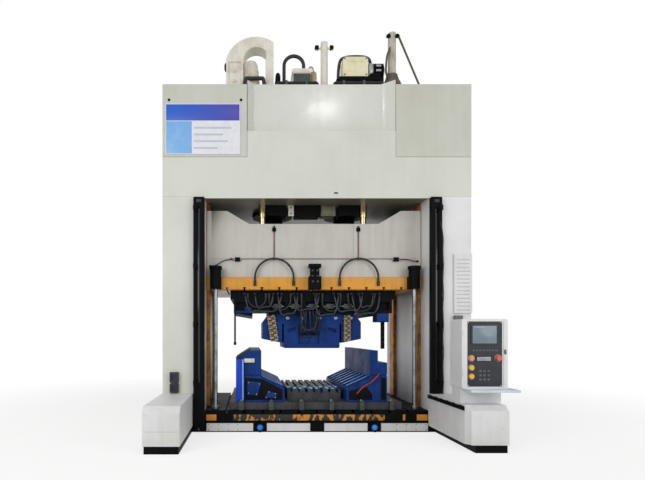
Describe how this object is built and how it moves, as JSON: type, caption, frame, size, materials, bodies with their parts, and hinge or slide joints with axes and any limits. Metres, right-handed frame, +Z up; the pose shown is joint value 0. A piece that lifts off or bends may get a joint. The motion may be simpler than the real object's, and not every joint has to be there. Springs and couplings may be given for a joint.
{
  "type": "hydraulic press",
  "caption": "Straight-side hydraulic press with crown, uprights, bed, guided slide, clamped die set, floor pedestals and an operator console.",
  "frame": {"origin": "centre of the bed's footprint, on the floor", "axes": "+Z up, -Y towards the operator side, +X to the operator's right"},
  "size_m": [5.1, 3.905, 6.87],
  "materials": {
    "press_white": "satin enamel",
    "cover_white": "satin powder coat",
    "slide_white": "satin enamel",
    "signal_orange": "gloss enamel",
    "black_paint": "satin enamel",
    "die_blue": "gloss enamel",
    "die_iron": "machined casting",
    "bronze": "machined",
    "chrome_rod": "polished",
    "cream_paint": "satin enamel",
    "steel": "turned",
    "hose_rubber": "matte",
    "copper_pipe": "drawn tube",
    "console_black": "fine texture",
    "screen_face": "clear film",
    "button_orange": "moulded",
    "button_amber": "moulded",
    "button_red": "moulded",
    "lens_blue": "moulded",
    "sign_blank": "printed sheet",
    "trunk_grey": "extruded"
  },
  "bodies": {
    "frame": {"bed": "press_white", "left_upright": "press_white", "right_upright": "press_white", "crown": "press_white", "tie_rods": "steel", "crown_fascia": "press_white", "left_crown_cover": "press_white", "right_crown_cover": "press_white", "centre_crown_cover": "press_white", "sign_board": "sign_blank", "left_cylinder": "steel", "right_cylinder": "steel", "valve_block": "black_paint", "guide_rails": "bronze", "bolster": "black_paint", "bed_front_covers": "cover_white", "lamp_housings": "black_paint", "lamp_lenses": "lens_blue", "bolster_lock": "black_paint", "guide_posts": "steel", "lower_die_shoe": "die_iron", "lower_die_saddle": "die_blue", "curtain_posts": "black_paint", "left_pedestal": "cover_white", "right_pedestal": "cover_white", "plinths": "black_paint", "socket_outlets": "console_black", "louvre_panel": "cover_white", "cable_trunking": "trunk_grey", "isolator_base": "trunk_grey", "console_cabinet": "cover_white", "console_panel": "console_black", "console_screen": "screen_face", "console_tray": "cover_white", "arch_bracket": "cream_paint", "lifting_mast": "cream_paint", "filter_housing": "cream_paint", "oil_hose": "hose_rubber", "pump_stand": "black_paint", "valve_box": "cream_paint", "pump_motor": "black_paint", "jib_post": "cream_paint", "jib_stay": "steel"},
    "slide": {"slide_block": "slide_white", "slide_beam": "signal_orange", "left_ram": "chrome_rod", "right_ram": "chrome_rod", "return_rods": "chrome_rod", "slide_liners": "bronze", "guide_bushes": "black_paint", "slide_manifold": "black_paint", "slide_pipes": "copper_pipe", "hose_loops": "hose_rubber", "upper_die_shoe": "die_iron", "upper_die_block": "die_blue"},
    "upper_push": {"upper_button": "button_orange"},
    "middle_push": {"middle_button": "button_amber"},
    "lower_push": {"lower_button": "button_amber"},
    "stop_push": {"emergency_stop": "button_red"},
    "isolator": {"isolator_handle": "button_orange"}
  },
  "joints": [
    {"name": "slide_stroke", "type": "slide", "parent": "frame", "child": "slide", "axis": [0, 0, 1], "range_m": [-0.575, 0.1]},
    {"name": "upper_button_press", "type": "slide", "parent": "frame", "child": "upper_push", "axis": [0, 1, 0], "range_m": [0, 0.006], "stiffness_N_per_m": 600, "springref_m": -0.002},
    {"name": "middle_button_press", "type": "slide", "parent": "frame", "child": "middle_push", "axis": [0, 1, 0], "range_m": [0, 0.006], "stiffness_N_per_m": 600, "springref_m": -0.002},
    {"name": "lower_button_press", "type": "slide", "parent": "frame", "child": "lower_push", "axis": [0, 1, 0], "range_m": [0, 0.006], "stiffness_N_per_m": 600, "springref_m": -0.002},
    {"name": "emergency_stop_press", "type": "slide", "parent": "frame", "child": "stop_push", "axis": [0, 1, 0], "range_m": [0, 0.008], "stiffness_N_per_m": 600, "springref_m": -0.002},
    {"name": "isolator_turn", "type": "hinge", "parent": "frame", "child": "isolator", "pos_m": [2.305, -1.25, 0.88], "axis": [0, 1, 0], "range_deg": [0, 90]}
  ]
}
